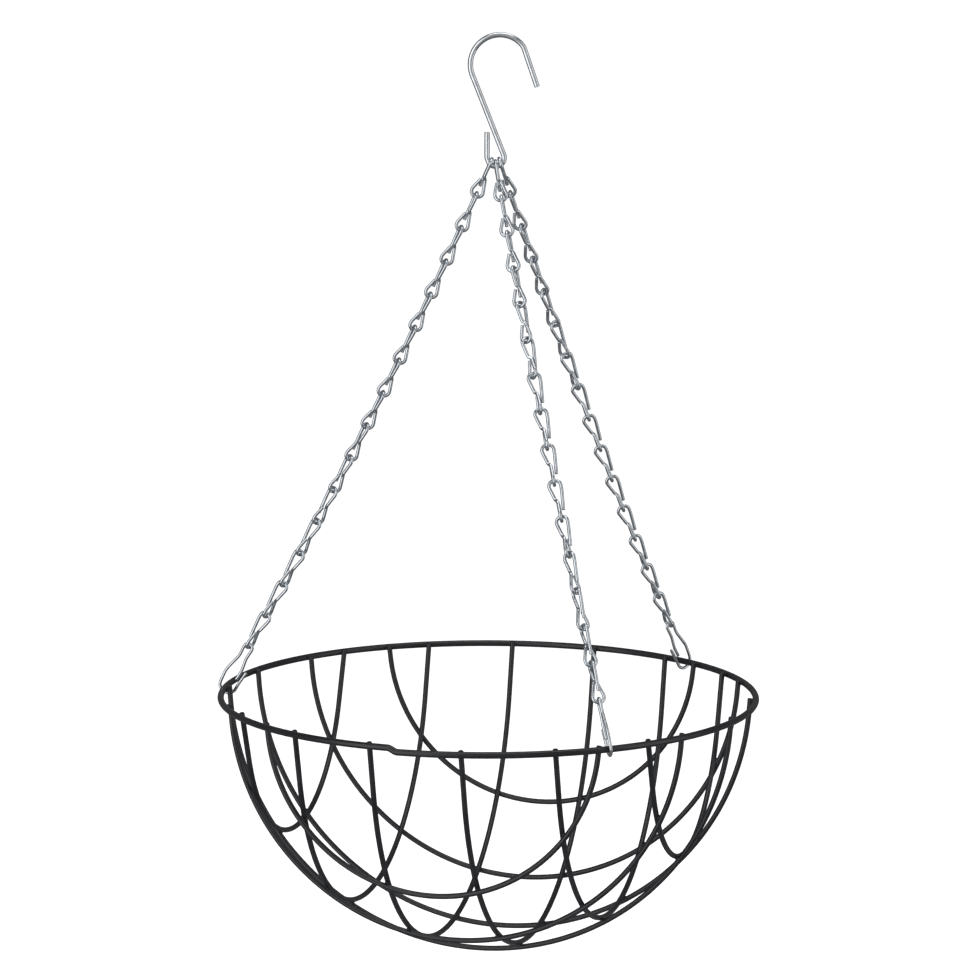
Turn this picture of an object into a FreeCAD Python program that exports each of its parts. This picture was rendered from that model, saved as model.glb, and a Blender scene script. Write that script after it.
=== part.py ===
"""Wire hanging basket: a coated wire bowl on three jack chains from one S-hook.

The frame's origin is the inside top of the hook's crook, where it rests on a bracket. +Z is up, the hook
lies in the XZ plane, and -Y is the front. Lengths are in millimetres and angles in degrees.
"""

import FreeCAD, Part
import math
import os

V = FreeCAD.Vector

# Wire diameters
HOOK_WIRE = 3.0
CLIP_WIRE = 1.8
LINK_WIRE = 1.9
RIM_WIRE = 3.6
RIB_WIRE = 3.0

# S-hook: a wide crook, a slanted shank and a tight eye with a short leg
CROOK_RADIUS = 16.0
CROOK_NOSE_RADIUS = 8.3
CROOK_NOSE_START = 45.0
CROOK_LEG_ANGLE = 18.9
CROOK_LEG_LENGTH = 21.4
SHANK_ANGLE = 21.5
SHANK_LENGTH = 46.15
EYE_RADIUS = 4.65
EYE_LEG_LENGTH = 13.9

# Bowl: ribs lie on a sphere whose centre is a little above the rim
RIM_OUTER_DIAMETER = 300.0
JOG_AZIMUTH = 250.3
JOG_LENGTH = 12.0
JOG_HEIGHT = 2.0
JOG_RUN = 4.0
JOG_BEND_RADIUS = 4.0
RIM_DROP = 293.4
RIM_OFFSET_X = -3.9
SPHERE_CENTRE_HEIGHT = 5.0
WELD_DEPTH = 0.15
CROSSING_DEPTH = 0.2
RIB_END_ABOVE_RIM = 1.6
GROUP_AZIMUTHS = {"back": 74.5, "left": 164.5, "front": 254.5, "right": 344.5}
OUTER_GROUPS = ("back", "front")
RIB_SPANS = {"short": 78.1, "mid": 121.1, "long": 160.3}

# Chains: clip place round the rim, the clip's turn about its own line, where the top link sits round the
# hook's eye, and the turns of some links about the chain
CHAINS = {
    "left": {
        "azimuth": 172.0, "clip_turn": 0.0, "eye_angle": -44.0,
        "turns": ((1, 98.0), (3, 110.0), (8, 110.0), (13, 152.0), (15, 158.0)),
    },
    "front": {
        "azimuth": 295.3, "clip_turn": -15.0, "eye_angle": 4.0,
        "turns": ((1, -22.0), (4, -48.0), (7, -106.0), (10, -120.0), (13, -172.0), (15, -185.0)),
    },
    "right": {
        "azimuth": 39.8, "clip_turn": 0.0, "eye_angle": 40.0,
        "turns": ((1, 236.0), (3, 214.0), (5, 205.0), (8, 150.0), (12, 150.0), (15, 172.0)),
    },
}
LINKS_PER_CHAIN = 15
LINK_PITCH = 20.3
CHAIN_SAG = 4.5
PLAY = 0.3
HOOK_PLAY = 0.2

# One link: a teardrop loop at each end, the two loops square to each other. The upper loop's free end is
# long and runs down beside the lower loop.
LOOP_FREE_SIDE = -3.3
LOOP_WAIST_SIDE = 4.0
LOOP_TIP = (-1.15, 1.2)
LOOP_TIP_SHOULDER = (LOOP_FREE_SIDE, 7.3)
LONG_TIP = (-2.15, -5.5)
LONG_TIP_SHOULDER = (LOOP_FREE_SIDE, 6.0)
LOOP_WAIST = (1.1, 0.6)
LOOP_RADIUS = 2.9
SHOULDER_RADIUS = 4.0
WAIST_RADIUS = 2.2

# Clip: an eye at the top, a narrower neck, and a hooked foot that passes under the rim wire
CLIP_EYE_SIDE = 2.6
CLIP_EYE_RADIUS = 2.4
CLIP_EYE_TOP = 27.9
CLIP_NECK = 2.1
CLIP_NECK_HEIGHT = 19.5
CLIP_NECK_RADIUS = 9.0
CLIP_BELLY = (4.8, 8.5)
CLIP_FREE_BELLY = (-3.3, 12.0)
CLIP_FREE_END = (-2.9, 6.3)
CLIP_FOOT_RADIUS = 4.6
CLIP_FOOT_CENTRE = (-0.7, 1.5)
CLIP_FOOT_CORNER = (-5.3, 4.5)
CLIP_FOOT_TIP = (-6.0, 12.6)
CLIP_BEND_RADIUS = 12.0

RIM_RADIUS = (RIM_OUTER_DIAMETER - RIM_WIRE) / 2
CROOK_CENTRE_Z = -(CROOK_RADIUS - HOOK_WIRE / 2)


def rounded_path(points, radii):
    """Straight runs through the points, with a tangent arc of the given radius at each inner point."""
    edges = []
    start = points[0]
    for before, corner, after, radius in zip(points, points[1:], points[2:], radii):
        toward = (corner - before).normalize()
        onward = (after - corner).normalize()
        half_turn = toward.getAngle(onward) / 2
        tangent = radius * math.tan(half_turn)
        arc_start = corner - toward * tangent
        arc_end = corner + onward * tangent
        inward = (onward - toward).normalize()
        arc_middle = corner + inward * (radius / math.cos(half_turn) - radius)
        if (arc_start - start).Length > 1e-4:
            edges.append(Part.LineSegment(start, arc_start).toShape())
        edges.append(Part.Arc(arc_start, arc_middle, arc_end).toShape())
        start = arc_end
    edges.append(Part.LineSegment(start, points[-1]).toShape())
    return Part.Wire(edges)


def bent_wire(path, diameter):
    """A round wire along a path of straight runs and tangent arcs, cut square at both ends."""
    first = path.Edges[0]
    begin = first.valueAt(first.FirstParameter)
    along = first.tangentAt(first.FirstParameter)
    section = Part.Wire(Part.makeCircle(diameter / 2, begin, along))
    solid = path.makePipeShell([section], True, False)
    expected = math.pi * diameter ** 2 / 4 * path.Length
    if not solid.isValid() or abs(solid.Volume / expected - 1) > 0.01:
        raise ValueError(f"bad sweep: volume {solid.Volume:.1f}, expected {expected:.1f}")
    return solid


def around(centre, radius, angle):
    """The point on a circle in the XZ plane, at an angle measured clockwise from its top."""
    turn = math.radians(angle)
    return centre + V(radius * math.sin(turn), 0, radius * math.cos(turn))


def shank_direction():
    slant = math.radians(SHANK_ANGLE)
    return V(math.sin(slant), 0, -math.cos(slant))


def eye_centre():
    """The centre of the hook's lower bend."""
    slant = math.radians(SHANK_ANGLE)
    shank_start = around(V(0, 0, CROOK_CENTRE_Z), CROOK_RADIUS, -90 - SHANK_ANGLE)
    shank_end = shank_start + shank_direction() * SHANK_LENGTH
    return shank_end + V(-math.cos(slant), 0, -math.sin(slant)) * EYE_RADIUS


def s_hook():
    crook = V(0, 0, CROOK_CENTRE_Z)
    nose = around(crook, CROOK_RADIUS - CROOK_NOSE_RADIUS, CROOK_NOSE_START)
    nose_end_angle = 90 - CROOK_LEG_ANGLE
    nose_end = around(nose, CROOK_NOSE_RADIUS, nose_end_angle)
    lean = math.radians(CROOK_LEG_ANGLE)
    leg_end = nose_end + V(math.sin(lean), 0, -math.cos(lean)) * CROOK_LEG_LENGTH
    crook_start = around(crook, CROOK_RADIUS, CROOK_NOSE_START)
    shank_start = around(crook, CROOK_RADIUS, -90 - SHANK_ANGLE)
    shank_end = shank_start + shank_direction() * SHANK_LENGTH
    eye = eye_centre()
    eye_leg_start = eye + V(-EYE_RADIUS, 0, 0)
    eye_leg_end = eye_leg_start + V(0, 0, EYE_LEG_LENGTH)
    path = Part.Wire([
        Part.LineSegment(leg_end, nose_end).toShape(),
        Part.Arc(nose_end, around(nose, CROOK_NOSE_RADIUS, (nose_end_angle + CROOK_NOSE_START) / 2),
                 crook_start).toShape(),
        Part.Arc(crook_start, around(crook, CROOK_RADIUS, (CROOK_NOSE_START - 90 - SHANK_ANGLE) / 2),
                 shank_start).toShape(),
        Part.LineSegment(shank_start, shank_end).toShape(),
        Part.Arc(shank_end, eye + V(0, 0, -EYE_RADIUS), eye_leg_start).toShape(),
        Part.LineSegment(eye_leg_start, eye_leg_end).toShape(),
    ])
    return bent_wire(path, HOOK_WIRE)


def rim_centre():
    """The centre of the bowl's rim."""
    return eye_centre() + V(RIM_OFFSET_X, 0, -EYE_RADIUS - RIM_DROP)


def rim_rise(azimuth):
    """The rim wire's height, which rises evenly from the low side of its jog to the high side."""
    return JOG_HEIGHT * ((azimuth - JOG_AZIMUTH) % 360 / 360 - 0.5)


def rim_point(azimuth):
    """The middle of the rim wire."""
    turn = math.radians(azimuth)
    return rim_centre() + V(RIM_RADIUS * math.cos(turn), RIM_RADIUS * math.sin(turn), rim_rise(azimuth))


def rim_ring():
    """One turn of wire, rising evenly so that its ends miss each other, and the jog that joins the ends."""
    jog_turn = math.degrees(JOG_LENGTH / RIM_RADIUS)
    turn = 360 - jog_turn
    pitch = JOG_HEIGHT * 360 / turn
    hoop = Part.makeHelix(pitch, JOG_HEIGHT, RIM_RADIUS)
    hoop.translate(V(0, 0, -JOG_HEIGHT / 2))
    hoop.rotate(V(0, 0, 0), V(0, 0, 1), JOG_AZIMUTH + jog_turn / 2)
    edge = hoop.Edges[0]
    ends = [edge.valueAt(edge.LastParameter), edge.valueAt(edge.FirstParameter)]
    runs = [edge.tangentAt(edge.LastParameter), edge.tangentAt(edge.FirstParameter)]
    corners = [ends[0] + runs[0] * JOG_RUN, ends[1] - runs[1] * JOG_RUN]
    jog = rounded_path([ends[0], *corners, ends[1]], [JOG_BEND_RADIUS] * 2)
    ring = bent_wire(Part.Wire([edge]), RIM_WIRE).fuse(bent_wire(jog, RIM_WIRE)).Solids[0]
    ring.translate(rim_centre())
    return ring


def rib(group, span):
    """A U-shaped wire in a vertical plane: an arc on the bowl's sphere, with straight ends up to the rim."""
    weld_radius = RIM_RADIUS - (RIM_WIRE + RIB_WIRE) / 2 + WELD_DEPTH
    sphere_radius = math.hypot(weld_radius, SPHERE_CENTRE_HEIGHT) - 0.1
    if group not in OUTER_GROUPS:
        sphere_radius -= RIB_WIRE - CROSSING_DEPTH
    half_span = math.radians(RIB_SPANS[span] / 2)
    plane_offset = weld_radius * math.cos(half_span)
    weld_y = weld_radius * math.sin(half_span)
    arc_radius = math.sqrt(sphere_radius ** 2 - plane_offset ** 2)
    reach = math.hypot(weld_y, SPHERE_CENTRE_HEIGHT)
    tangent_angle = -math.atan2(SPHERE_CENTRE_HEIGHT, weld_y) - math.acos(arc_radius / reach)
    tangent_y = arc_radius * math.cos(tangent_angle)
    tangent_z = SPHERE_CENTRE_HEIGHT + arc_radius * math.sin(tangent_angle)
    slope = (weld_y - tangent_y) / -tangent_z
    start_z, end_z = (rim_rise(GROUP_AZIMUTHS[group] + way * RIB_SPANS[span] / 2) + RIB_END_ABOVE_RIM
                      for way in (-1, 1))
    bottom_z = SPHERE_CENTRE_HEIGHT - arc_radius
    path = Part.Wire([
        Part.LineSegment(V(plane_offset, -weld_y - slope * start_z, start_z),
                         V(plane_offset, -tangent_y, tangent_z)).toShape(),
        Part.Arc(V(plane_offset, -tangent_y, tangent_z), V(plane_offset, 0, bottom_z),
                 V(plane_offset, tangent_y, tangent_z)).toShape(),
        Part.LineSegment(V(plane_offset, tangent_y, tangent_z),
                         V(plane_offset, weld_y + slope * end_z, end_z)).toShape(),
    ])
    solid = bent_wire(path, RIB_WIRE)
    solid.rotate(V(0, 0, 0), V(0, 0, 1), GROUP_AZIMUTHS[group])
    solid.translate(rim_centre())
    return solid


def directions(chain, up):
    """Unit vectors square to a line that leads up from the rim: away from the basket, and sideways."""
    azimuth = math.radians(chain["azimuth"])
    outward = V(math.cos(azimuth), math.sin(azimuth), 0)
    side = up.cross(outward).normalize()
    return side.cross(up), side


def chain_joints(chain):
    """The foot point in the rim wire, and the points where the links interlock, from the clip's eye up.

    The chain sags a little below the straight line from the foot to the middle of the hook's wire, and the
    top link's wire crosses the eye just inside the bend.
    """
    foot = rim_point(chain["azimuth"])
    eye_angle = math.radians(chain["eye_angle"])
    from_eye = V(math.sin(eye_angle), 0, -math.cos(eye_angle)) * EYE_RADIUS
    span = eye_centre() + from_eye - foot
    length = span.Length
    up = span.normalize()
    seat_radius = EYE_RADIUS - (HOOK_WIRE + LINK_WIRE) / 2 - HOOK_PLAY
    slant = up.x ** 2 + up.z ** 2
    inward = -(from_eye.x * up.x + from_eye.z * up.z) / slant
    link_top = inward - math.sqrt(inward ** 2 - (EYE_RADIUS ** 2 - seat_radius ** 2) / slant)
    lowest = CLIP_EYE_TOP - (CLIP_WIRE + PLAY) / 2
    highest = length + link_top - (LINK_WIRE + PLAY) / 2
    droop = (up * up.z - V(0, 0, 1)).normalize()
    joints = []
    for step in range(LINKS_PER_CHAIN + 1):
        along = lowest + (highest - lowest) * step / LINKS_PER_CHAIN
        share = along / highest
        joints.append(foot + up * along + droop * (4 * CHAIN_SAG * share * (1 - share)))
    return foot, joints


def turn_of_link(chain, number):
    """The turn of a link's upper loop about the chain, interpolated between the chain's own settings."""
    turns = chain["turns"]
    for (first, first_turn), (last, last_turn) in zip(turns, turns[1:]):
        if number <= last:
            return first_turn + (last_turn - first_turn) * (number - first) / (last - first)
    return turns[-1][1]


def link_ends(chain, number):
    """The interlock points at the bottom and the top of a link, numbered from the hook down."""
    joints = chain_joints(chain)[1]
    return joints[LINKS_PER_CHAIN - number], joints[LINKS_PER_CHAIN - number + 1]


def link_in_place(chain, number):
    bottom, top = link_ends(chain, number)
    up = (top - bottom).normalize()
    outward, side = directions(chain, up)
    turn = math.radians(turn_of_link(chain, number))
    upper = outward * math.cos(turn) + side * math.sin(turn)
    lower = up.cross(upper)
    centre = (bottom + top) / 2
    loop_top = LINK_PITCH / 2 + (LINK_WIRE + PLAY) / 2
    loop = [(LOOP_FREE_SIDE, loop_top), (LOOP_WAIST_SIDE, loop_top), LOOP_WAIST]
    upper_outline = [LONG_TIP, LONG_TIP_SHOULDER] + loop
    lower_outline = [LOOP_TIP, LOOP_TIP_SHOULDER] + loop
    radii = [SHOULDER_RADIUS, LOOP_RADIUS, LOOP_RADIUS, WAIST_RADIUS]
    upper_points = [centre + upper * across + up * height for across, height in upper_outline]
    lower_points = [centre + lower * across - up * height for across, height in reversed(lower_outline)]
    path = rounded_path(upper_points + lower_points, radii + radii[::-1])
    return bent_wire(path, LINK_WIRE)


def clip_in_place(chain):
    """A clip: down from its free end, round the eye, and round the foot to the hooked tip."""
    foot, joints = chain_joints(chain)
    up = (joints[0] - foot).normalize()
    outward, side = directions(chain, up)
    turn = math.radians(chain["clip_turn"])
    face = outward * math.cos(turn) + side * math.sin(turn)
    foot_x, foot_z = CLIP_FOOT_CENTRE
    outline = [
        CLIP_FREE_END,
        CLIP_FREE_BELLY,
        (-CLIP_NECK, CLIP_NECK_HEIGHT),
        (-CLIP_EYE_SIDE, CLIP_EYE_TOP),
        (CLIP_EYE_SIDE, CLIP_EYE_TOP),
        (CLIP_NECK, CLIP_NECK_HEIGHT),
        CLIP_BELLY,
        (foot_x + CLIP_FOOT_RADIUS, foot_z - CLIP_FOOT_RADIUS),
        (foot_x - CLIP_FOOT_RADIUS, foot_z - CLIP_FOOT_RADIUS),
        CLIP_FOOT_CORNER,
        CLIP_FOOT_TIP,
    ]
    radii = [CLIP_BEND_RADIUS, CLIP_NECK_RADIUS] + [CLIP_EYE_RADIUS] * 2
    radii += [CLIP_NECK_RADIUS, CLIP_BEND_RADIUS] + [CLIP_FOOT_RADIUS] * 2 + [CLIP_BEND_RADIUS]
    points = [foot + face * across + up * height for across, height in outline]
    return bent_wire(rounded_path(points, radii), CLIP_WIRE)


def export(name, shape):
    shape.exportStep(f"parts/{name}.step")


def main():
    os.makedirs("parts", exist_ok=True)
    export("s_hook", s_hook())
    export("rim_ring", rim_ring())
    for group in GROUP_AZIMUTHS:
        for span in ("mid", "long"):
            export(f"rib_{span}_{group}", rib(group, span))
    export("ribs_short", Part.makeCompound([rib(group, "short") for group in GROUP_AZIMUTHS]))
    for name, chain in CHAINS.items():
        joints = chain_joints(chain)[1]
        pitches = [(top - bottom).Length for bottom, top in zip(joints, joints[1:])]
        print(f"{name} chain: pitch {min(pitches):.2f} to {max(pitches):.2f} mm")
        export(f"clip_{name}", clip_in_place(chain))
        for number in range(1, LINKS_PER_CHAIN + 1):
            export(f"link_{name}_{number:02d}", link_in_place(chain, number))


main()
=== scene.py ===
"""Looks of the wire hanging basket: coated wire bowl, zinc-plated chains, clips and hook.

Lengths in the geometry functions are millimetres in the part's own frame. Meshes are made in metres.
"""

import math
import random

import bpy
from mathutils import Matrix, Vector


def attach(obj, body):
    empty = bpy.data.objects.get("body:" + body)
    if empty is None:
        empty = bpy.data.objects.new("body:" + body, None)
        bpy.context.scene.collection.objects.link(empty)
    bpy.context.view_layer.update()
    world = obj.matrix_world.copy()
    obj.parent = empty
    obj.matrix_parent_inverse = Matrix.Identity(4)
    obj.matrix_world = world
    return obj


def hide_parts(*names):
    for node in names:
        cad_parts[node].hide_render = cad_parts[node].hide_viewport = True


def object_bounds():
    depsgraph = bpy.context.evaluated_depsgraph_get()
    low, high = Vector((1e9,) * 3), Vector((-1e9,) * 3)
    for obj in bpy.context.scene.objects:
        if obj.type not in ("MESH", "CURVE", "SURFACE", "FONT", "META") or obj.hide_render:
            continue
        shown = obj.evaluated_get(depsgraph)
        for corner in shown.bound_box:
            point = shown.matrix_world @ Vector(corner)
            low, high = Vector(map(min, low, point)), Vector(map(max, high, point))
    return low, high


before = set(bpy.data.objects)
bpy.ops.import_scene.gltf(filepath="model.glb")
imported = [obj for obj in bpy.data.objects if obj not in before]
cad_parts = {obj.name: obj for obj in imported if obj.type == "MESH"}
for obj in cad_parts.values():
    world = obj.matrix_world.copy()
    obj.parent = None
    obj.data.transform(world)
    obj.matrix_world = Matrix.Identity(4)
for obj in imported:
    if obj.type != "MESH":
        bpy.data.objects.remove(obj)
cad_low, cad_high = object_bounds()

MM = 0.001

# The same driving sizes as the part's own geometry: wires, hook, bowl, chains, link and clip
HOOK_WIRE = 3.0
CLIP_WIRE = 1.8
LINK_WIRE = 1.9
RIM_WIRE = 3.6
RIB_WIRE = 3.0
CROOK_RADIUS = 16.0
CROOK_NOSE_RADIUS = 8.3
CROOK_NOSE_START = 45.0
CROOK_LEG_ANGLE = 18.9
CROOK_LEG_LENGTH = 21.4
SHANK_ANGLE = 21.5
SHANK_LENGTH = 46.15
EYE_RADIUS = 4.65
EYE_LEG_LENGTH = 13.9
RIM_OUTER_DIAMETER = 300.0
JOG_AZIMUTH = 250.3
JOG_LENGTH = 12.0
JOG_HEIGHT = 2.0
JOG_RUN = 4.0
JOG_BEND_RADIUS = 4.0
RIM_DROP = 293.4
RIM_OFFSET_X = -3.9
SPHERE_CENTRE_HEIGHT = 5.0
WELD_DEPTH = 0.15
CROSSING_DEPTH = 0.2
RIB_END_ABOVE_RIM = 1.6
GROUP_AZIMUTHS = {"back": 74.5, "left": 164.5, "front": 254.5, "right": 344.5}
OUTER_GROUPS = ("back", "front")
RIB_SPANS = {"short": 78.1, "mid": 121.1, "long": 160.3}
CHAINS = {
    "left": {
        "azimuth": 172.0, "clip_turn": 0.0, "eye_angle": -44.0,
        "turns": ((1, 98.0), (3, 110.0), (8, 110.0), (13, 152.0), (15, 158.0)),
    },
    "front": {
        "azimuth": 295.3, "clip_turn": -15.0, "eye_angle": 4.0,
        "turns": ((1, -22.0), (4, -48.0), (7, -106.0), (10, -120.0), (13, -172.0), (15, -185.0)),
    },
    "right": {
        "azimuth": 39.8, "clip_turn": 0.0, "eye_angle": 40.0,
        "turns": ((1, 236.0), (3, 214.0), (5, 205.0), (8, 150.0), (12, 150.0), (15, 172.0)),
    },
}
LINKS_PER_CHAIN = 15
LINK_PITCH = 20.3
CHAIN_SAG = 4.5
PLAY = 0.3
HOOK_PLAY = 0.2
LOOP_FREE_SIDE = -3.3
LOOP_WAIST_SIDE = 4.0
LOOP_TIP = (-1.15, 1.2)
LOOP_TIP_SHOULDER = (LOOP_FREE_SIDE, 7.3)
LONG_TIP = (-2.15, -5.5)
LONG_TIP_SHOULDER = (LOOP_FREE_SIDE, 6.0)
LOOP_WAIST = (1.1, 0.6)
LOOP_RADIUS = 2.9
SHOULDER_RADIUS = 4.0
WAIST_RADIUS = 2.2
CLIP_EYE_SIDE = 2.6
CLIP_EYE_RADIUS = 2.4
CLIP_EYE_TOP = 27.9
CLIP_NECK = 2.1
CLIP_NECK_HEIGHT = 19.5
CLIP_NECK_RADIUS = 9.0
CLIP_BELLY = (4.8, 8.5)
CLIP_FREE_BELLY = (-3.3, 12.0)
CLIP_FREE_END = (-2.9, 6.3)
CLIP_FOOT_RADIUS = 4.6
CLIP_FOOT_CENTRE = (-0.7, 1.5)
CLIP_FOOT_CORNER = (-5.3, 4.5)
CLIP_FOOT_TIP = (-6.0, 12.6)
CLIP_BEND_RADIUS = 12.0
RIM_RADIUS = (RIM_OUTER_DIAMETER - RIM_WIRE) / 2
CROOK_CENTRE_Z = -(CROOK_RADIUS - HOOK_WIRE / 2)

# Surface detail: the uneven thickness of a wire, and the coating run together where wires are welded
RIM_WOBBLE = 0.03
RIB_WOBBLE = 0.025
ZINC_WOBBLE = 0.01
RIM_WELD_REACH = 5.2
CROSSING_WELD_REACH = 4.6
WELD_SWELL = 0.03
MELT_VOXEL = 0.3
MELT_ROUNDS = 10
CUT_EDGE_ANGLE = 35


# ---------------------------------------------------------------- paths

def line_points(start, end, step):
    count = max(1, math.ceil((end - start).length / step))
    return [start.lerp(end, i / count) for i in range(count + 1)]


def arc_points(centre, start, axis, angle, step):
    """Points from start, turned about an axis through the centre by the angle in degrees."""
    arm = start - centre
    turn = math.radians(angle)
    count = max(4, math.ceil(abs(turn) * arm.length / step))
    return [centre + Matrix.Rotation(turn * i / count, 3, axis) @ arm for i in range(count + 1)]


def joined(*runs):
    """One list from runs that each start where the last one ended."""
    points = list(runs[0])
    for run in runs[1:]:
        points.extend(run[1:] if (run[0] - points[-1]).length < 1e-3 else run)
    return points


def rounded_points(corners, radii, step):
    """Straight runs through the corners, with a tangent arc of the given radius at each inner one."""
    runs = []
    start = corners[0]
    for before, corner, after, radius in zip(corners, corners[1:], corners[2:], radii):
        toward = (corner - before).normalized()
        onward = (after - corner).normalized()
        turn = toward.angle(onward)
        tangent = radius * math.tan(turn / 2)
        arc_start = corner - toward * tangent
        axis = toward.cross(onward).normalized()
        centre = arc_start + axis.cross(toward) * radius
        if (arc_start - start).length > 1e-3:
            runs.append(line_points(start, arc_start, step))
        runs.append(arc_points(centre, arc_start, axis, math.degrees(turn), step))
        start = runs[-1][-1]
    runs.append(line_points(start, corners[-1], step))
    return joined(*runs)


def around(centre, radius, angle):
    turn = math.radians(angle)
    return centre + Vector((radius * math.sin(turn), 0, radius * math.cos(turn)))


def shank_direction():
    slant = math.radians(SHANK_ANGLE)
    return Vector((math.sin(slant), 0, -math.cos(slant)))


def eye_centre():
    slant = math.radians(SHANK_ANGLE)
    shank_start = around(Vector((0, 0, CROOK_CENTRE_Z)), CROOK_RADIUS, -90 - SHANK_ANGLE)
    shank_end = shank_start + shank_direction() * SHANK_LENGTH
    return shank_end - Vector((math.cos(slant), 0, math.sin(slant))) * EYE_RADIUS


def rim_centre():
    return eye_centre() + Vector((RIM_OFFSET_X, 0, -EYE_RADIUS - RIM_DROP))


def rim_rise(azimuth):
    return JOG_HEIGHT * ((azimuth - JOG_AZIMUTH) % 360 / 360 - 0.5)


def rim_point(azimuth):
    turn = math.radians(azimuth)
    across = Vector((RIM_RADIUS * math.cos(turn), RIM_RADIUS * math.sin(turn), rim_rise(azimuth)))
    return rim_centre() + across


def hook_path(step=0.8):
    crook = Vector((0, 0, CROOK_CENTRE_Z))
    nose = around(crook, CROOK_RADIUS - CROOK_NOSE_RADIUS, CROOK_NOSE_START)
    nose_end_angle = 90 - CROOK_LEG_ANGLE
    nose_end = around(nose, CROOK_NOSE_RADIUS, nose_end_angle)
    lean = math.radians(CROOK_LEG_ANGLE)
    leg_end = nose_end + Vector((math.sin(lean), 0, -math.cos(lean))) * CROOK_LEG_LENGTH
    crook_start = around(crook, CROOK_RADIUS, CROOK_NOSE_START)
    shank_start = around(crook, CROOK_RADIUS, -90 - SHANK_ANGLE)
    shank_end = shank_start + shank_direction() * SHANK_LENGTH
    eye = eye_centre()
    eye_leg_start = eye + Vector((-EYE_RADIUS, 0, 0))
    axis = Vector((0, 1, 0))
    return joined(
        line_points(leg_end, nose_end, step),
        arc_points(nose, nose_end, axis, CROOK_NOSE_START - nose_end_angle, step),
        arc_points(crook, crook_start, axis, -90 - SHANK_ANGLE - CROOK_NOSE_START, step),
        line_points(shank_start, shank_end, step),
        arc_points(eye, shank_end, axis, 180 - SHANK_ANGLE, step),
        line_points(eye_leg_start, eye_leg_start + Vector((0, 0, EYE_LEG_LENGTH)), step),
    )


def rim_path(step=1.5):
    """The hoop from the jog's low side right round to its high side, then the jog back to the start."""
    jog_turn = math.degrees(JOG_LENGTH / RIM_RADIUS)
    turn = 360 - jog_turn
    start = JOG_AZIMUTH + jog_turn / 2
    count = math.ceil(math.radians(turn) * RIM_RADIUS / step)
    centre = rim_centre()
    hoop = []
    for i in range(count + 1):
        angle = math.radians(start + turn * i / count)
        rise = JOG_HEIGHT * (i / count - 0.5)
        hoop.append(centre + Vector((RIM_RADIUS * math.cos(angle), RIM_RADIUS * math.sin(angle), rise)))
    run_out = (hoop[-1] - hoop[-2]).normalized()
    run_in = (hoop[1] - hoop[0]).normalized()
    corners = [hoop[-1], hoop[-1] + run_out * JOG_RUN, hoop[0] - run_in * JOG_RUN, hoop[0]]
    jog = rounded_points(corners, [JOG_BEND_RADIUS] * 2, step / 3)
    return joined(hoop, jog)[:-1]


def rib_path(group, span, step=1.5):
    weld_radius = RIM_RADIUS - (RIM_WIRE + RIB_WIRE) / 2 + WELD_DEPTH
    sphere_radius = math.hypot(weld_radius, SPHERE_CENTRE_HEIGHT) - 0.1
    if group not in OUTER_GROUPS:
        sphere_radius -= RIB_WIRE - CROSSING_DEPTH
    half_span = math.radians(RIB_SPANS[span] / 2)
    plane_offset = weld_radius * math.cos(half_span)
    weld_y = weld_radius * math.sin(half_span)
    arc_radius = math.sqrt(sphere_radius ** 2 - plane_offset ** 2)
    reach = math.hypot(weld_y, SPHERE_CENTRE_HEIGHT)
    tangent_angle = -math.atan2(SPHERE_CENTRE_HEIGHT, weld_y) - math.acos(arc_radius / reach)
    tangent_y = arc_radius * math.cos(tangent_angle)
    tangent_z = SPHERE_CENTRE_HEIGHT + arc_radius * math.sin(tangent_angle)
    slope = (weld_y - tangent_y) / -tangent_z
    start_z, end_z = (rim_rise(GROUP_AZIMUTHS[group] + way * RIB_SPANS[span] / 2) + RIB_END_ABOVE_RIM
                      for way in (-1, 1))
    low = Vector((plane_offset, -weld_y - slope * start_z, start_z))
    high = Vector((plane_offset, weld_y + slope * end_z, end_z))
    arc_low = Vector((plane_offset, -tangent_y, tangent_z))
    centre = Vector((plane_offset, 0, SPHERE_CENTRE_HEIGHT))
    sweep_angle = 180 + 2 * math.degrees(tangent_angle)
    arc = arc_points(centre, arc_low, Vector((1, 0, 0)), sweep_angle, step)
    points = joined(line_points(low, arc_low, step), arc, line_points(arc[-1], high, step))
    turn = Matrix.Rotation(math.radians(GROUP_AZIMUTHS[group]), 3, "Z")
    return [rim_centre() + turn @ point for point in points]


def directions(chain, up):
    azimuth = math.radians(chain["azimuth"])
    outward = Vector((math.cos(azimuth), math.sin(azimuth), 0))
    side = up.cross(outward).normalized()
    return side.cross(up), side


def chain_joints(chain):
    """The foot point in the rim wire, and the points where the links interlock, from the clip's eye up."""
    foot = rim_point(chain["azimuth"])
    eye_angle = math.radians(chain["eye_angle"])
    from_eye = Vector((math.sin(eye_angle), 0, -math.cos(eye_angle))) * EYE_RADIUS
    span = eye_centre() + from_eye - foot
    up = span.normalized()
    seat_radius = EYE_RADIUS - (HOOK_WIRE + LINK_WIRE) / 2 - HOOK_PLAY
    slant = up.x ** 2 + up.z ** 2
    inward = -(from_eye.x * up.x + from_eye.z * up.z) / slant
    link_top = inward - math.sqrt(inward ** 2 - (EYE_RADIUS ** 2 - seat_radius ** 2) / slant)
    lowest = CLIP_EYE_TOP - (CLIP_WIRE + PLAY) / 2
    highest = span.length + link_top - (LINK_WIRE + PLAY) / 2
    droop = (up * up.z - Vector((0, 0, 1))).normalized()
    joints = []
    for step in range(LINKS_PER_CHAIN + 1):
        along = lowest + (highest - lowest) * step / LINKS_PER_CHAIN
        share = along / highest
        joints.append(foot + up * along + droop * (4 * CHAIN_SAG * share * (1 - share)))
    return foot, joints


def turn_of_link(chain, number):
    turns = chain["turns"]
    for (first, first_turn), (last, last_turn) in zip(turns, turns[1:]):
        if number <= last:
            return first_turn + (last_turn - first_turn) * (number - first) / (last - first)
    return turns[-1][1]


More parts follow.
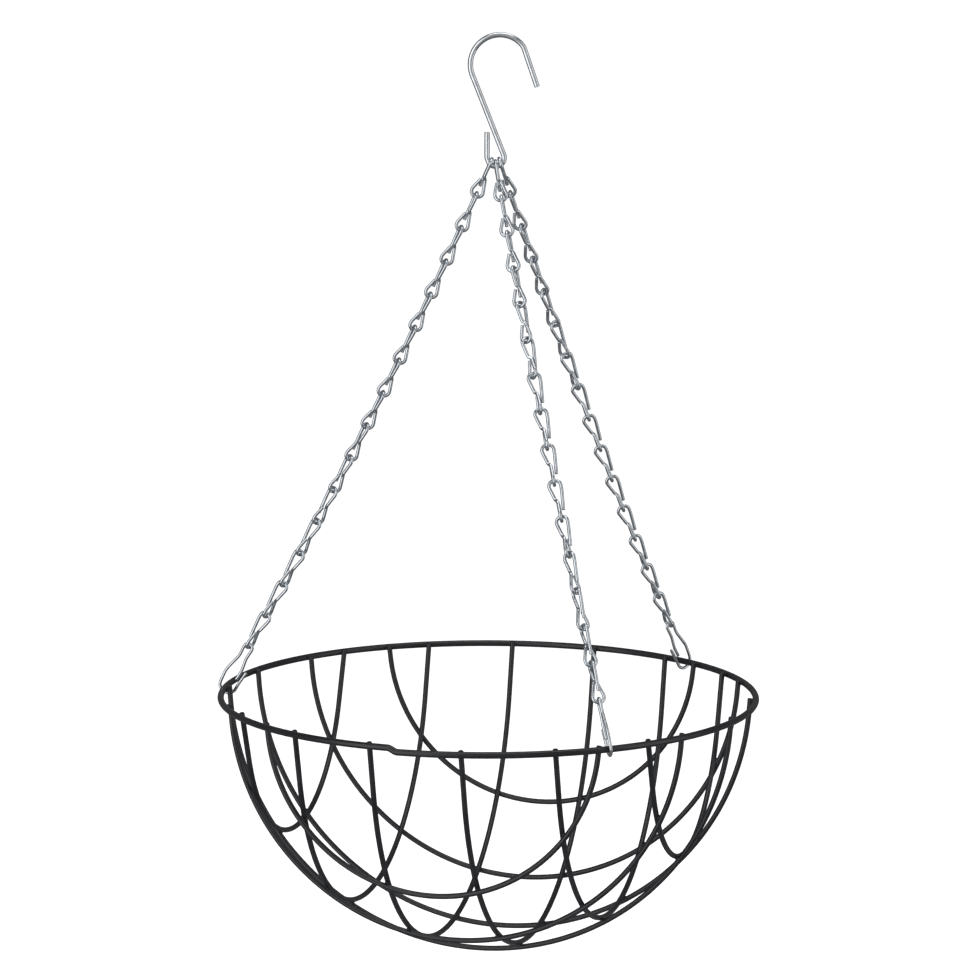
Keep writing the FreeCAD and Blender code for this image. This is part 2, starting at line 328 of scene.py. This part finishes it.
def link_path(chain, number, step=0.45):
    joints = chain_joints(chain)[1]
    bottom = joints[LINKS_PER_CHAIN - number]
    top = joints[LINKS_PER_CHAIN - number + 1]
    up = (top - bottom).normalized()
    outward, side = directions(chain, up)
    turn = math.radians(turn_of_link(chain, number))
    upper = outward * math.cos(turn) + side * math.sin(turn)
    lower = up.cross(upper)
    centre = (bottom + top) / 2
    loop_top = LINK_PITCH / 2 + (LINK_WIRE + PLAY) / 2
    loop = [(LOOP_FREE_SIDE, loop_top), (LOOP_WAIST_SIDE, loop_top), LOOP_WAIST]
    upper_outline = [LONG_TIP, LONG_TIP_SHOULDER] + loop
    lower_outline = [LOOP_TIP, LOOP_TIP_SHOULDER] + loop
    radii = [SHOULDER_RADIUS, LOOP_RADIUS, LOOP_RADIUS, WAIST_RADIUS]
    upper_points = [centre + upper * across + up * height for across, height in upper_outline]
    lower_points = [centre + lower * across - up * height for across, height in reversed(lower_outline)]
    return rounded_points(upper_points + lower_points, radii + radii[::-1], step)


def clip_path(chain, step=0.5):
    foot, joints = chain_joints(chain)
    up = (joints[0] - foot).normalized()
    outward, side = directions(chain, up)
    turn = math.radians(chain["clip_turn"])
    face = outward * math.cos(turn) + side * math.sin(turn)
    foot_x, foot_z = CLIP_FOOT_CENTRE
    outline = [
        CLIP_FREE_END,
        CLIP_FREE_BELLY,
        (-CLIP_NECK, CLIP_NECK_HEIGHT),
        (-CLIP_EYE_SIDE, CLIP_EYE_TOP),
        (CLIP_EYE_SIDE, CLIP_EYE_TOP),
        (CLIP_NECK, CLIP_NECK_HEIGHT),
        CLIP_BELLY,
        (foot_x + CLIP_FOOT_RADIUS, foot_z - CLIP_FOOT_RADIUS),
        (foot_x - CLIP_FOOT_RADIUS, foot_z - CLIP_FOOT_RADIUS),
        CLIP_FOOT_CORNER,
        CLIP_FOOT_TIP,
    ]
    radii = [CLIP_BEND_RADIUS, CLIP_NECK_RADIUS] + [CLIP_EYE_RADIUS] * 2
    radii += [CLIP_NECK_RADIUS, CLIP_BEND_RADIUS] + [CLIP_FOOT_RADIUS] * 2 + [CLIP_BEND_RADIUS]
    points = [foot + face * across + up * height for across, height in outline]
    return rounded_points(points, radii, step)


# ---------------------------------------------------------------- meshes

def ripple(seed):
    """A smooth repeatable wobble between about -1 and 1 of the distance along a wire."""
    rng = random.Random(seed)
    waves = [(rng.uniform(0.15, 1.1), rng.uniform(0, 6.28), rng.uniform(0.3, 1.0)) for _ in range(6)]
    total = sum(weight for _, _, weight in waves)
    return lambda s: sum(weight * math.sin(rate * s + phase) for rate, phase, weight in waves) / total


def frames_along(points, closed):
    """A tangent and two cross directions at each point, carried along without twisting."""
    count = len(points)
    tangents = []
    for i in range(count):
        before = points[i - 1] if i or closed else points[0]
        after = points[(i + 1) % count] if i + 1 < count or closed else points[-1]
        tangents.append((after - before).normalized())
    first = tangents[0].orthogonal().normalized()
    normals = [first]
    for last, now in zip(tangents, tangents[1:]):
        carried = last.rotation_difference(now) @ normals[-1]
        normals.append((carried - now * carried.dot(now)).normalized())
    if closed:
        back = tangents[-1].rotation_difference(tangents[0]) @ normals[-1]
        slip = back.angle(first)
        if tangents[0].dot(back.cross(first)) < 0:
            slip = -slip
        normals = [Matrix.Rotation(slip * i / count, 3, tangent) @ normal
                   for i, (normal, tangent) in enumerate(zip(normals, tangents))]
    return [(t, n, t.cross(n)) for t, n in zip(tangents, normals)]


def wire_data(points, diameter, sides, end, wobble=0.0, seed=0, closed=False):
    """Vertices, faces and the 'grain' position of each vertex, for a round wire along the points."""
    radius = diameter / 2
    wave = ripple(seed)
    run = 0.0
    rings = []
    frames = frames_along(points, closed)
    for i, (point, axes) in enumerate(zip(points, frames)):
        if i:
            run += (point - points[i - 1]).length
        rings.append((point, axes, radius + wobble * wave(run), run))
    if not closed:
        rings = end_rings(rings, radius, end, -1) + rings[1:-1] + end_rings(rings, radius, end, 1)
    verts = []
    grain = []
    for point, (tangent, normal, across), ring_radius, along in rings:
        for k in range(sides):
            turn = 2 * math.pi * k / sides
            arm = normal * math.cos(turn) + across * math.sin(turn)
            verts.append((point + arm * ring_radius) * MM)
            grain.append((along, radius * math.cos(turn), radius * math.sin(turn)))
    faces = []
    count = len(rings)
    for i in range(count if closed else count - 1):
        a = i * sides
        b = (i + 1) % count * sides
        for k in range(sides):
            m = (k + 1) % sides
            faces.append((a + k, a + m, b + m, b + k))
    if not closed:
        faces.append(tuple(range(sides))[::-1])
        faces.append(tuple(range((count - 1) * sides, count * sides)))
    return verts, faces, grain


def end_rings(rings, radius, end, way):
    """Rings that shape a wire's end: a coated dome, or a cut with a small chamfer."""
    point, axes, ring_radius, along = rings[-1 if way > 0 else 0]
    outward = axes[0] * way
    if end == "dome":
        height = radius * 0.8
        steps = [(1 - math.cos(a), math.sin(a)) for a in (math.radians(12 * i) for i in range(8))]
        shaped = [(point - outward * height * depth, axes, ring_radius * max(size, 0.12), along)
                  for depth, size in steps]
    else:
        chamfer = radius * 0.16
        shaped = [
            (point, axes, ring_radius - chamfer, along),
            (point - outward * chamfer * 0.4, axes, ring_radius - chamfer * 0.3, along),
            (point - outward * chamfer, axes, ring_radius, along),
        ]
    return shaped[::-1] if way > 0 else shaped


def new_piece(name, parts, sharp=None):
    """One mesh object from lists of (vertices, faces, grain)."""
    verts, faces, grain = [], [], []
    for part_verts, part_faces, part_grain in parts:
        base = len(verts)
        verts.extend(part_verts)
        faces.extend(tuple(base + i for i in face) for face in part_faces)
        grain.extend(part_grain)
    mesh = bpy.data.meshes.new(name)
    mesh.from_pydata(verts, [], faces)
    layer = mesh.attributes.new("grain", "FLOAT_VECTOR", "POINT")
    layer.data.foreach_set("vector", [value for item in grain for value in item])
    mesh.shade_smooth()
    if sharp:
        mesh.set_sharp_from_angle(angle=math.radians(sharp))
    piece = bpy.data.objects.new(name, mesh)
    bpy.context.scene.collection.objects.link(piece)
    return piece


def stub(points, spot, diameter, reach, sides=16):
    """A short length of wire about a spot, a little thicker in the middle and thinner at its ends."""
    near = [p for p in points if (p - spot).length <= reach]
    radius = diameter / 2
    rings = []
    for point, axes in zip(near, frames_along(near, False)):
        apart = (point - spot).length / reach
        rings.append((point, axes, radius * (1 + WELD_SWELL * (1 - apart) - 0.12 * apart ** 3), 0.0))
    verts = []
    for point, (tangent, normal, across), ring_radius, along in rings:
        for k in range(sides):
            turn = 2 * math.pi * k / sides
            verts.append((point + (normal * math.cos(turn) + across * math.sin(turn)) * ring_radius) * MM)
    faces = []
    for i in range(len(rings) - 1):
        for k in range(sides):
            m = (k + 1) % sides
            faces.append((i * sides + k, i * sides + m, (i + 1) * sides + m, (i + 1) * sides + k))
    faces.append(tuple(range(sides))[::-1])
    faces.append(tuple(range((len(rings) - 1) * sides, len(rings) * sides)))
    return verts, faces, [(0.0, 0.0, 0.0)] * len(verts)


def melted(name, parts):
    """The stubs run together into smooth lumps, as a coating does over welded wires."""
    piece = new_piece(name, parts)
    remesh = piece.modifiers.new("melt", "REMESH")
    remesh.mode = "VOXEL"
    remesh.voxel_size = MELT_VOXEL * MM
    remesh.use_smooth_shade = True
    smooth = piece.modifiers.new("smooth", "SMOOTH")
    smooth.factor = 0.5
    smooth.iterations = MELT_ROUNDS
    depsgraph = bpy.context.evaluated_depsgraph_get()
    mesh = bpy.data.meshes.new_from_object(piece.evaluated_get(depsgraph))
    piece.modifiers.clear()
    piece.data = mesh
    mesh.name = name
    return piece


def closest_pair(first, second):
    """The points of two wires that are nearest each other, from coarse to fine."""
    best = min(((a - b).length, i, j) for i, a in enumerate(first[::6]) for j, b in enumerate(second[::6]))
    i, j = best[1] * 6, best[2] * 6
    near_first = first[max(0, i - 8):i + 9]
    near_second = second[max(0, j - 8):j + 9]
    gap, a, b = min(((a - b).length, k, m)
                    for k, a in enumerate(near_first) for m, b in enumerate(near_second))
    return gap, near_first[a], near_second[b]


# ---------------------------------------------------------------- materials

def node(tree, kind, **values):
    made = tree.nodes.new(kind)
    for key, value in values.items():
        if key in made.inputs:
            made.inputs[key].default_value = value
        else:
            setattr(made, key, value)
    return made


def ramp(tree, factor, stops):
    made = tree.nodes.new("ShaderNodeValToRGB")
    elements = made.color_ramp.elements
    while len(elements) < len(stops):
        elements.new(0.5)
    for element, (position, colour) in zip(elements, stops):
        element.position = position
        element.color = (*colour, 1)
    tree.links.new(factor, made.inputs["Fac"])
    return made.outputs["Color"]


def coated_material():
    """Satin black plastic coating: orange peel, faint dust and slight change of gloss."""
    material = bpy.data.materials.new("satin_black_coating")
    material.use_nodes = True
    tree = material.node_tree
    shader = tree.nodes["Principled BSDF"]
    place = node(tree, "ShaderNodeTexCoord").outputs["Object"]
    blotch = node(tree, "ShaderNodeTexNoise", Scale=60.0, Detail=3.0, Roughness=0.55)
    peel = node(tree, "ShaderNodeTexNoise", Scale=900.0, Detail=2.0, Roughness=0.5)
    specks = node(tree, "ShaderNodeTexNoise", Scale=2600.0, Detail=2.0, Roughness=0.6)
    for texture in (blotch, peel, specks):
        tree.links.new(place, texture.inputs["Vector"])
    colour = ramp(tree, blotch.outputs["Fac"], [
        (0.30, (0.0060, 0.0065, 0.0085)),
        (0.55, (0.0085, 0.0092, 0.0120)),
        (0.75, (0.0130, 0.0140, 0.0175)),
    ])
    dust = ramp(tree, specks.outputs["Fac"], [(0.66, (0, 0, 0)), (0.78, (1, 1, 1))])
    mix = node(tree, "ShaderNodeMix", data_type="RGBA")
    mix.inputs[7].default_value = (0.035, 0.037, 0.042, 1)
    tree.links.new(colour, mix.inputs[6])
    tree.links.new(dust, mix.inputs[0])
    tree.links.new(mix.outputs[2], shader.inputs["Base Color"])
    gloss = node(tree, "ShaderNodeMapRange")
    gloss.inputs["From Min"].default_value = 0.3
    gloss.inputs["From Max"].default_value = 0.7
    gloss.inputs["To Min"].default_value = 0.30
    gloss.inputs["To Max"].default_value = 0.44
    tree.links.new(blotch.outputs["Fac"], gloss.inputs["Value"])
    tree.links.new(gloss.outputs["Result"], shader.inputs["Roughness"])
    bump = node(tree, "ShaderNodeBump", Strength=0.35, Distance=0.00008)
    tree.links.new(peel.outputs["Fac"], bump.inputs["Height"])
    tree.links.new(bump.outputs["Normal"], shader.inputs["Normal"])
    shader.inputs["Specular IOR Level"].default_value = 0.5
    return material


def zinc_material(name, tint, rough_low, rough_high):
    """Bright zinc plating on drawn wire: fine lines along the wire, cloudy tint and dull patches."""
    material = bpy.data.materials.new(name)
    material.use_nodes = True
    tree = material.node_tree
    shader = tree.nodes["Principled BSDF"]
    grain = node(tree, "ShaderNodeAttribute", attribute_name="grain").outputs["Vector"]
    stretch = node(tree, "ShaderNodeMapping")
    stretch.inputs["Scale"].default_value = (0.12, 5.0, 5.0)
    tree.links.new(grain, stretch.inputs["Vector"])
    lines = node(tree, "ShaderNodeTexNoise", Scale=1.6, Detail=5.0, Roughness=0.65)
    tree.links.new(stretch.outputs["Vector"], lines.inputs["Vector"])
    place = node(tree, "ShaderNodeTexCoord").outputs["Object"]
    cloud = node(tree, "ShaderNodeTexNoise", Scale=240.0, Detail=4.0, Roughness=0.6)
    pits = node(tree, "ShaderNodeTexNoise", Scale=1900.0, Detail=2.0, Roughness=0.5)
    for texture in (cloud, pits):
        tree.links.new(place, texture.inputs["Vector"])
    colour = ramp(tree, cloud.outputs["Fac"], [
        (0.28, tuple(0.78 * c for c in tint)),
        (0.50, tint),
        (0.72, tuple(min(1.0, 1.16 * c) for c in tint)),
    ])
    streak = ramp(tree, lines.outputs["Fac"], [(0.35, (0.72, 0.73, 0.74)), (0.62, (1, 1, 1))])
    mix = node(tree, "ShaderNodeMix", data_type="RGBA", blend_type="MULTIPLY")
    mix.inputs[0].default_value = 0.45
    tree.links.new(colour, mix.inputs[6])
    tree.links.new(streak, mix.inputs[7])
    tree.links.new(mix.outputs[2], shader.inputs["Base Color"])
    gloss = node(tree, "ShaderNodeMapRange")
    gloss.inputs["From Min"].default_value = 0.3
    gloss.inputs["From Max"].default_value = 0.7
    gloss.inputs["To Min"].default_value = rough_low
    gloss.inputs["To Max"].default_value = rough_high
    tree.links.new(cloud.outputs["Fac"], gloss.inputs["Value"])
    tree.links.new(gloss.outputs["Result"], shader.inputs["Roughness"])
    rough = node(tree, "ShaderNodeBump", Strength=0.18, Distance=0.00004)
    fine = node(tree, "ShaderNodeBump", Strength=0.12, Distance=0.00003)
    tree.links.new(lines.outputs["Fac"], rough.inputs["Height"])
    tree.links.new(pits.outputs["Fac"], fine.inputs["Height"])
    tree.links.new(rough.outputs["Normal"], fine.inputs["Normal"])
    tree.links.new(fine.outputs["Normal"], shader.inputs["Normal"])
    shader.inputs["Metallic"].default_value = 1.0
    return material


def plain_material(name, colour, roughness):
    material = bpy.data.materials.new(name)
    material.use_nodes = True
    shader = material.node_tree.nodes["Principled BSDF"]
    shader.inputs["Base Color"].default_value = (*colour, 1)
    shader.inputs["Roughness"].default_value = roughness
    return material


# ---------------------------------------------------------------- camera, light and floor

CAMERA_PLACE = (-6.2, -2211.3, 101.4)
CAMERA_PITCH = 8.836
CAMERA_PAN = 0.119
CAMERA_LENS = 152.47
FLOOR_DROP = 230.0
FLOOR_REACH = 120.0
FLOOR_FRONT = 0.7
FLOOR_GLOW = 0.88
WORLD_SEEN = 1.0
WORLD_LIGHTING = 0.18
# Each softbox: place and aim in metres, width and height, watts
SOFTBOXES = {
    "key": ((-1.3, -1.4, 0.0), (0, 0, -0.2), (1.6, 3.2), 26),
    "front": ((0.4, -2.9, 0.3), (0, 0, -0.2), (3.0, 3.0), 9),
    "fill": ((1.7, -0.6, 0.1), (0, 0, -0.2), (1.1, 2.8), 11),
    "top": ((0.1, -0.2, 1.6), (0, 0, -0.25), (1.6, 1.0), 12),
}


def add_camera():
    data = bpy.data.cameras.new("camera")
    data.sensor_width = 36.0
    data.lens = CAMERA_LENS
    data.clip_start = 0.05
    data.clip_end = 400.0
    camera = bpy.data.objects.new("camera", data)
    camera.location = Vector(CAMERA_PLACE) * MM
    camera.rotation_euler = (math.radians(90 - CAMERA_PITCH), 0, math.radians(CAMERA_PAN))
    bpy.context.scene.collection.objects.link(camera)
    bpy.context.scene.camera = camera


def add_softbox(name, place, target, size, watts):
    data = bpy.data.lights.new(name, "AREA")
    data.shape = "RECTANGLE"
    data.size, data.size_y = size
    data.energy = watts
    lamp = bpy.data.objects.new(name, data)
    lamp.location = place
    lamp.rotation_euler = (Vector(target) - Vector(place)).to_track_quat("-Z", "Y").to_euler()
    bpy.context.scene.collection.objects.link(lamp)


def add_world():
    """A white surround behind the object, and a dimmer grey one that lights it."""
    world = bpy.data.worlds.new("studio")
    bpy.context.scene.world = world
    world.use_nodes = True
    tree = world.node_tree
    background = tree.nodes["Background"]
    path = node(tree, "ShaderNodeLightPath")
    level = node(tree, "ShaderNodeMapRange")
    level.inputs["To Min"].default_value = WORLD_LIGHTING
    level.inputs["To Max"].default_value = WORLD_SEEN
    tree.links.new(path.outputs["Is Camera Ray"], level.inputs["Value"])
    tree.links.new(level.outputs["Result"], background.inputs["Strength"])
    background.inputs["Color"].default_value = (1, 1, 1, 1)


def add_floor(low):
    """A glowing white table that runs far back but stops short in front, and isn't seen in reflections."""
    z = low.z - FLOOR_DROP * MM
    corners = [(-FLOOR_REACH, -FLOOR_FRONT, z), (FLOOR_REACH, -FLOOR_FRONT, z),
               (FLOOR_REACH, FLOOR_REACH, z), (-FLOOR_REACH, FLOOR_REACH, z)]
    mesh = bpy.data.meshes.new("floor")
    mesh.from_pydata(corners, [], [(0, 1, 2, 3)])
    floor = bpy.data.objects.new("floor", mesh)
    material = plain_material("pale_floor", (0.92, 0.92, 0.92), 0.8)
    shader = material.node_tree.nodes["Principled BSDF"]
    shader.inputs["Emission Color"].default_value = (1, 1, 1, 1)
    shader.inputs["Emission Strength"].default_value = FLOOR_GLOW
    mesh.materials.append(material)
    floor.visible_glossy = False
    bpy.context.scene.collection.objects.link(floor)


# ---------------------------------------------------------------- build

def finish_piece(piece, material, body, slot, *nodes):
    piece.data.materials.clear()
    piece.data.materials.append(material)
    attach(piece, body)
    if nodes:
        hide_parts(*nodes)


def build_basket(material):
    rim = rim_path()
    ribs = {(group, span): rib_path(group, span) for group in GROUP_AZIMUTHS for span in RIB_SPANS}
    piece = new_piece("rim_hoop", [wire_data(rim, RIM_WIRE, 24, None, RIM_WOBBLE, 1, closed=True)])
    finish_piece(piece, material, "basket", "coated_wire", "rim_ring")
    shorts = []
    for seed, ((group, span), points) in enumerate(ribs.items()):
        data = wire_data(points, RIB_WIRE, 20, "dome", RIB_WOBBLE, 10 + seed)
        if span == "short":
            shorts.append(data)
            continue
        piece = new_piece(f"{span}_rib_{group}", [data])
        finish_piece(piece, material, "basket", "coated_wire", f"rib_{span}_{group}")
    piece = new_piece("short_ribs", shorts)
    finish_piece(piece, material, "basket", "coated_wire", "ribs_short")
    loop = rim + rim[:8]
    rim_stubs = []
    for points in ribs.values():
        for tail in (points[:12], points[-12:]):
            _, on_rib, on_rim = closest_pair(tail, loop)
            rim_stubs.append(stub(points, on_rib, RIB_WIRE, RIM_WELD_REACH))
            rim_stubs.append(stub(loop, on_rim, RIM_WIRE, RIM_WELD_REACH))
    piece = melted("rim_weld_coating", rim_stubs)
    finish_piece(piece, material, "basket", "coated_wire")
    cross_stubs = []
    for (group, span), points in ribs.items():
        if group not in OUTER_GROUPS:
            continue
        for (other_group, other_span), others in ribs.items():
            if other_group in OUTER_GROUPS:
                continue
            gap, here, there = closest_pair(points, others)
            if gap < RIB_WIRE:
                cross_stubs.append(stub(points, here, RIB_WIRE, CROSSING_WELD_REACH))
                cross_stubs.append(stub(others, there, RIB_WIRE, CROSSING_WELD_REACH))
    piece = melted("rib_weld_coating", cross_stubs)
    finish_piece(piece, material, "basket", "coated_wire")


def build_hangers(hook_zinc, clip_zinc, chain_zinc):
    data = wire_data(hook_path(), HOOK_WIRE, 28, "cut", ZINC_WOBBLE, 90)
    piece = new_piece("hook_wire", [data], CUT_EDGE_ANGLE)
    finish_piece(piece, hook_zinc, "hook", "hook_wire", "s_hook")
    for seed, (side, chain) in enumerate(CHAINS.items()):
        data = wire_data(clip_path(chain), CLIP_WIRE, 18, "cut", ZINC_WOBBLE, 100 + seed)
        piece = new_piece(f"rim_clip_{side}", [data], CUT_EDGE_ANGLE)
        finish_piece(piece, clip_zinc, f"clip_body_{side}", "clip_wire", f"clip_{side}")
        for number in range(1, LINKS_PER_CHAIN + 1):
            link_seed = 200 + 20 * seed + number
            data = wire_data(link_path(chain, number), LINK_WIRE, 16, "cut", ZINC_WOBBLE, link_seed)
            piece = new_piece(f"chain_link_{side}_{number:02d}", [data], CUT_EDGE_ANGLE)
            body = f"chain_{side}_{number:02d}"
            finish_piece(piece, chain_zinc, body, "chain_wire", f"link_{side}_{number:02d}")


bpy.context.scene.view_settings.view_transform = "Standard"
add_camera()
add_world()
add_floor(cad_low)
for softbox, settings in SOFTBOXES.items():
    add_softbox(softbox, *settings)
build_basket(coated_material())
build_hangers(
    zinc_material("zinc_hook", (0.68, 0.71, 0.74), 0.15, 0.27),
    zinc_material("zinc_clip", (0.66, 0.69, 0.72), 0.16, 0.28),
    zinc_material("zinc_chain", (0.62, 0.66, 0.70), 0.16, 0.28),
)
